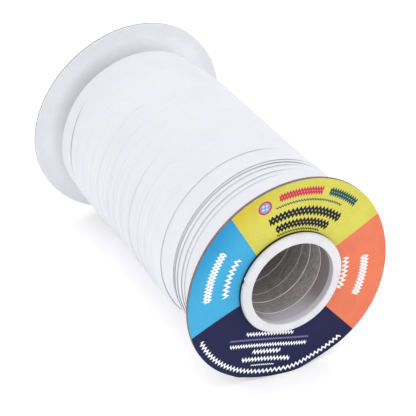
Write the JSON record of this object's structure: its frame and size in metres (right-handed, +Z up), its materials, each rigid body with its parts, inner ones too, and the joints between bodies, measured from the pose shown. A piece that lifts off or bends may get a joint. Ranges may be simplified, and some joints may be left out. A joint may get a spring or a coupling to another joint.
{
  "type": "bias tape wound on a flanged card reel",
  "caption": "White double fold bias tape wound on a paper tube between two round card flanges, with end rings and a printed disc; lies on its side.",
  "frame": {"origin": "on the surface under the middle of the reel, at the centre of the bottom of its box", "axes": "+X along the reel's axis towards its printed end, +Z up, with the reel lying on its side"},
  "size_m": [0.1178, 0.0728, 0.0718],
  "materials": {
    "tape": "plain woven white cotton blend, pressed into folds",
    "tube_paper": "grey spirally wound paper, matt",
    "card_edge": "grey-brown cut card, matt",
    "card_white": "white lined card, matt",
    "printed_paper": "coated paper printed in four plain sectors, satin",
    "ring": "off-white, smooth satin"
  },
  "bodies": {
    "root": {"wound_tape": "tape", "core_tube": "tube_paper", "near_flange": "card_edge", "far_flange": "card_white", "near_label": "printed_paper", "near_ring": "ring", "far_ring": "ring"}
  },
  "joints": []
}
